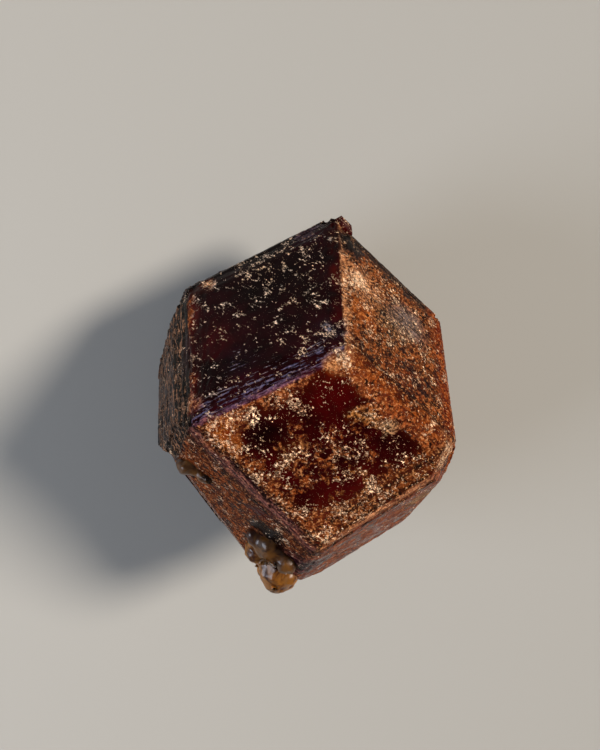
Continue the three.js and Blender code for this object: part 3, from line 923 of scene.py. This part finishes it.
def quartz_material():
    """Smoky amber quartz: half see-through and honey brown, with milky wisps and a waxy surface."""
    made, tree = new_material("amber_quartz")
    node = partial(add_node, tree)
    metres = node("ShaderNodeTexCoord", None, None, "Object")
    place = node(VECTOR, SCALED, {0: metres, "Scale": 1 / MM})
    wisps = {"Vector": place, "Scale": 0.3, "Detail": 5.0, "Roughness": 0.65, "Distortion": 0.8}
    wisps = node(NOISE, None, wisps)
    mottled = node(RANGE, EASED, {"Value": wisps, "From Min": 0.38, "From Max": 0.62})

    # darker and smokier towards the crystal's top
    low = node("ShaderNodeSeparateXYZ", None, {"Vector": place}, "Z")
    smoky = node(MATH, TIMES_PLUS, {0: wisps, 1: SMOKE_WANDER, 2: low})
    smoky = {"Value": smoky, "From Min": 37.5, "From Max": 42.0, "To Min": 1.0, "To Max": 0.4}
    smoky = node(RANGE, EASED, smoky)
    colour = {"Factor": mottled, "A": linear("#4a1e06"), "B": linear("#c47c26")}
    colour = node(MIX, COLOURS, colour, "Result")
    colour = node(VECTOR, SCALED, {0: colour, "Scale": smoky})
    gloss = node(RANGE, None, {"Value": mottled, "To Min": 0.28, "To Max": 0.42})
    ripples = node(NOISE, None, {"Vector": place, "Scale": 0.8, "Detail": 3.0})
    relief = node("ShaderNodeBump", None, {"Strength": 0.35, "Distance": 0.2 * MM, "Height": ripples})
    surface = {"Base Color": colour, "Roughness": gloss, "Normal": relief, "IOR": QUARTZ_IOR}
    surface |= {"Transmission Weight": 0.45, "Specular IOR Level": 0.3}
    shader = node(PRINCIPLED, None, surface)
    depth = node("ShaderNodeVolumeAbsorption", None, {"Color": linear("#f3cb7c"), "Density": 150.0})
    node(MATERIAL_OUTPUT, None, {"Surface": shader, "Volume": depth})
    return made


# ---- the pieces ----


def cleaned(mesh):
    """Merges doubled points and turns the faces outwards."""
    shape = bmesh.new()
    shape.from_mesh(mesh)
    bmesh.ops.remove_doubles(shape, verts=shape.verts, dist=MERGE_DISTANCE)
    bmesh.ops.recalc_face_normals(shape, faces=shape.faces)
    shape.to_mesh(mesh)
    shape.free()


FLECK_EDGE = 0.6  # grains stand where the fleck pattern is higher than this
CLEAR_OF_FLOOR = 0.3 * MM
FROST_SIZES = {"Grains per square metre": 2e7, "Smallest radius": 0.03 * MM, "Largest radius": 0.09 * MM}
FROST_SEED = 11


def frost_tree():
    """Scatters faceted grains over the garnet wherever its finish has flecks."""
    sockets = [("Geometry", GEOMETRY_SOCKET), ("Material", MATERIAL_SOCKET), ("Seed", "NodeSocketInt")]
    sockets += [(name, FLOAT_SOCKET) for name in FROST_SIZES]
    tree, given = new_group("frost", sockets, ("Geometry", GEOMETRY_SOCKET))
    node = partial(add_node, tree)
    position = node("GeometryNodeInputPosition")
    place = node(VECTOR, SCALED, {0: position, "Scale": 1 / MM})
    flecks = node(NAMED_ATTRIBUTE, NUMBERS, {"Name": "flecks"})
    fleck = fleck_nodes(tree, place, flecks)
    within = node(MATH, {"operation": "GREATER_THAN"}, {0: fleck, 1: FLECK_EDGE})
    height = node("ShaderNodeSeparateXYZ", None, {"Vector": position}, "Z")
    raised = node(MATH, {"operation": "GREATER_THAN"}, {0: height, 1: CLEAR_OF_FLOOR})
    within = node(MATH, TIMES, {0: within, 1: raised})
    strewn = {"Mesh": given["Geometry"], "Density": given["Grains per square metre"], "Seed": given["Seed"]}
    strewn = node("GeometryNodeDistributePointsOnFaces", None, strewn).node.outputs
    grain = node("GeometryNodeMeshIcoSphere", None, {"Radius": 1.0, "Subdivisions": 1})

    # each grain's size, shape and turn
    stretch = {"Min": (0.6, 1.0, 0.4), "Max": (1.1, 2.4, 0.8), "Seed": given["Seed"]}
    stretch = node(RANDOM, VECTORS, stretch)
    size = node(RANDOM, NUMBERS, {2: given["Smallest radius"], 3: given["Largest radius"], "Seed": 3}, 1)
    scale = node(VECTOR, SCALED, {0: stretch, "Scale": size})
    turn = node(RANDOM, VECTORS, {"Min": (-0.5, -0.5, 0.0), "Max": (0.5, 0.5, 6.28), "Seed": 5})
    turn = node("FunctionNodeEulerToRotation", None, {0: turn})
    turned = {0: strewn["Rotation"], 1: turn}
    turned = node("FunctionNodeRotateRotation", {"rotation_space": "LOCAL"}, turned)
    grains = {"Points": strewn["Points"], "Selection": within, "Instance": grain}
    grains |= {"Rotation": turned, "Scale": scale}
    grains = node("GeometryNodeInstanceOnPoints", None, grains)
    tone = node(RANDOM, NUMBERS, {2: 0.3, 3: 1.0, "Seed": 7}, 1)
    toned = {"Geometry": grains, "Name": "tone", "Value": tone}
    toned = node("GeometryNodeStoreNamedAttribute", {**NUMBERS, "domain": "INSTANCE"}, toned)
    return ended(tree, toned, given["Material"])


garnet = garnet_material()
body = new_object("garnet_body", grid_mesh("garnet_body", HULL_PLANES, GRID_STEPS))
grown(body, garnet_tree(), {"Material": garnet, **GARNET_SIZES})
frost = new_object("frost_grains", body.data.copy())
grown(frost, frost_tree(), {"Material": frost_material(), "Seed": FROST_SEED, **FROST_SIZES})

tip_planes = [(Vector(direction).normalized(), TIP_DISTANCE) for direction, _, _ in FACES.values()]
tip_mesh = grid_mesh("tip_crystal", tip_planes, TIP_GRID_STEPS, TIP_CENTRE, TIP_FINISH)
cleaned(tip_mesh)
tip_mesh.materials.append(garnet)
tip = new_object("tip_crystal", tip_mesh)

LUMP_CELL = 0.25 * MM  # of the mesh that joins the lumps
LUMP_SMOOTHING = 30  # rounds, which fill the clefts between lumps
SWELL_CELLS, SWELL_HEIGHT = 260, 0.5  # cells for each metre, and height in millimetres
DIMPLE_CELLS, DIMPLE_HEIGHT = 520, 0.2
QUARTZ_SUNK = 0.15  # how far the skin is drawn in, in millimetres

quartz_shape = bmesh.new()
for middle, half_sizes in QUARTZ_LUMPS + QUARTZ_KNOBS:
    place_and_size = Matrix.LocRotScale(CENTRE + Vector(middle) * MM, None, Vector(half_sizes) * MM)
    bmesh.ops.create_icosphere(quartz_shape, subdivisions=4, radius=1.0, matrix=place_and_size)
quartz_mesh = bpy.data.meshes.new("quartz_lumps")
quartz_shape.to_mesh(quartz_mesh)
quartz_shape.free()
quartz = new_object("quartz_lumps", quartz_mesh)
remesh = quartz.modifiers.new("joined", "REMESH")
remesh.mode = "VOXEL"
remesh.voxel_size = LUMP_CELL
smooth = quartz.modifiers.new("smoothed", "SMOOTH")
smooth.iterations = LUMP_SMOOTHING
applied(quartz)
for vertex in quartz.data.vertices:
    swell = noise.fractal(vertex.co * SWELL_CELLS, 0.8, 2.1, 3) * SWELL_HEIGHT
    dimple = abs(noise.noise(vertex.co * DIMPLE_CELLS)) * DIMPLE_HEIGHT
    vertex.co -= vertex.normal * (swell + dimple + QUARTZ_SUNK) * MM
quartz.data.materials.append(quartz_material())
quartz.data.shade_smooth()

for piece, slot in ((body, "garnet"), (frost, "garnet"), (tip, "garnet"), (quartz, "amber_quartz")):
    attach(piece, "root")
    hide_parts("garnet_crystal")


# ---- floor, camera and light ----

FLOOR_SIZE = 12
CAMERA_AT = Vector((-33.7, 40.8, 183.6))  # in millimetres from the crystal's centre, as is AIM_AT
AIM_AT = Vector((-2.1, 8.0, -1.8))
UP_IN_VIEW = Vector((-0.115, 0.974, -0.192))
LENS = 52.8
NEAREST_SEEN = 0.01
UP_FOR_LIGHTS = Vector((0.1, 0.9, 0.4))
LIGHT_DISTANCE = 0.5
# Each light: its kind, the direction that it stands in, its colour and its settings.
LIGHTS = {
    "key": ("SUN", (0.31, 0.175, 0.35), "#fff4e6", {"energy": 3.9, "angle": radians(16)}),
    "fill": (
        "AREA",
        (-0.9, -0.3, 0.4),
        "#e8f0ff",
        {"shape": "DISK", "size": 0.3, "energy": 0.5, "spread": radians(90)},
    ),
}
ROOM_COLOUR, ROOM_STRENGTH = "#d8dade", 0.18


def looking(at, target, up):
    """The matrix of a camera or light at a point, turned to a target."""
    back = (at - target).normalized()
    right = up.cross(back).normalized()
    return Matrix.LocRotScale(at, Matrix((right, back.cross(right), back)).transposed(), None)


bpy.ops.mesh.primitive_plane_add(size=FLOOR_SIZE)
floor = bpy.context.object
floor.name = "floor"
paper, paper_tree = new_material("matt_paper")
paper_shader = add_node(paper_tree, PRINCIPLED, None, {"Base Color": linear("#abaaa6"), "Roughness": 0.9})
add_node(paper_tree, MATERIAL_OUTPUT, None, {"Surface": paper_shader})
floor.data.materials.append(paper)

camera = new_object("camera", bpy.data.cameras.new("camera"))
camera.data.lens = LENS
camera.data.clip_start = NEAREST_SEEN
camera.matrix_world = looking(CENTRE + CAMERA_AT * MM, CENTRE + AIM_AT * MM, UP_IN_VIEW)
bpy.context.scene.camera = camera

for name, (kind, direction, colour, settings) in LIGHTS.items():
    light = new_object(name, bpy.data.lights.new(name, kind))
    light.data.color = linear(colour)[:3]
    for setting, value in settings.items():
        setattr(light.data, setting, value)
    at = CENTRE + Vector(direction).normalized() * LIGHT_DISTANCE
    light.matrix_world = looking(at, CENTRE, UP_FOR_LIGHTS)

world = bpy.data.worlds.new("room")
world.use_nodes = True
bpy.context.scene.world = world
background = world.node_tree.nodes["Background"]
background.inputs["Color"].default_value = linear(ROOM_COLOUR)
background.inputs["Strength"].default_value = ROOM_STRENGTH
bpy.context.scene.view_settings.view_transform = "Standard"
